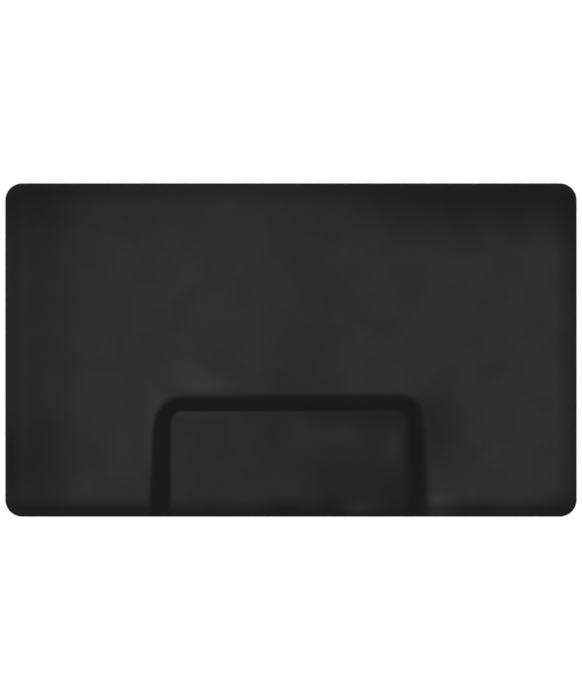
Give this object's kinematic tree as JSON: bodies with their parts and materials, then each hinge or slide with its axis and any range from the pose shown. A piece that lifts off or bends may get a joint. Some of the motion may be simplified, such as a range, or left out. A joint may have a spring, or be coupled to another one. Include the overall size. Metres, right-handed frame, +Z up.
{
  "type": "anti fatigue mat",
  "caption": "Rectangular cushioned floor mat with sloped edges and a lowered recess in its front edge for the square base of a styling chair.",
  "frame": {"origin": "centre of the underside, on the floor", "axes": "+X along the long side, +Z up, recess opening towards -Y"},
  "size_m": [1.524, 0.889, 0.022],
  "materials": {
    "wear_cover": "black vinyl with a fine low grain, satin",
    "comfort_foam": "soft closed-cell foam, cut cells open at the surface",
    "support_foam": "firm closed-cell foam, skinned",
    "grip_backing": "black non-slip sheet with small raised studs, dull"
  },
  "bodies": {
    "root": {"wear_cover": "wear_cover", "comfort_foam": "comfort_foam", "support_foam": "support_foam", "grip_backing": "grip_backing"}
  },
  "joints": []
}
